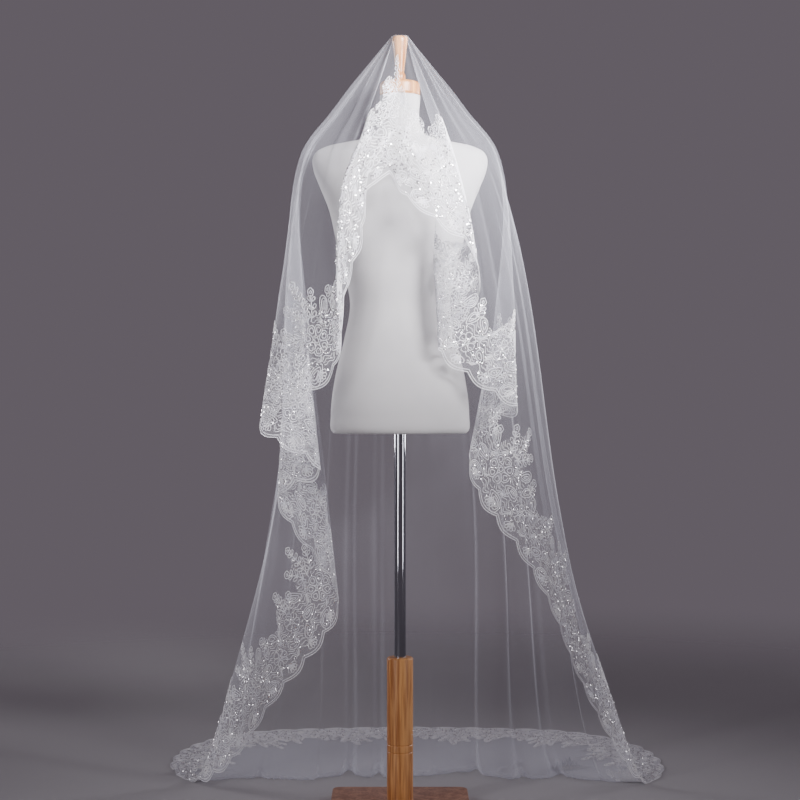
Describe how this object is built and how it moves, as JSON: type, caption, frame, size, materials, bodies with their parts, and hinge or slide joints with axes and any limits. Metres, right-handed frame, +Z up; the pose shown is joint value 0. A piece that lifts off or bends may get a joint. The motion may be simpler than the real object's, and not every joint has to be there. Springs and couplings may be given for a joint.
{
  "type": "bridal veil on a dress form",
  "caption": "Long tulle bridal veil with a scalloped lace edging, draped over the finial of a limbless dress form: two front cascades and a train behind.",
  "frame": {"origin": "middle of the base board's underside, on the floor below the axis of the pole", "axes": "+Z up along the pole, -Y out of the front opening of the veil, +X to the right in the front view, the train runs towards +Y"},
  "size_m": [1.1965, 1.1091, 1.6615],
  "materials": {
    "tulle": "sheer net, soft sheen",
    "lace": "corded lace with sequins",
    "form_jersey": "matt stretch jersey over a padded form",
    "turned_pine": "satin varnish",
    "pole_chrome": "polished",
    "base_wood": "satin stain"
  },
  "bodies": {
    "root": {"base_board": "base_wood", "pole_sleeve": "turned_pine", "pole": "pole_chrome", "form_torso": "form_jersey", "neck_cap": "turned_pine", "finial": "turned_pine", "tulle_crown": "tulle", "tulle_front_left": "tulle", "tulle_front_right": "tulle", "tulle_left_fall": "tulle", "tulle_right_fall": "tulle", "tulle_back_left": "tulle", "tulle_back_right": "tulle", "tulle_train": "tulle", "lace_front_left": "lace", "lace_front_right": "lace", "lace_left_side": "lace", "lace_right_side": "lace", "lace_train": "lace"}
  },
  "joints": []
}
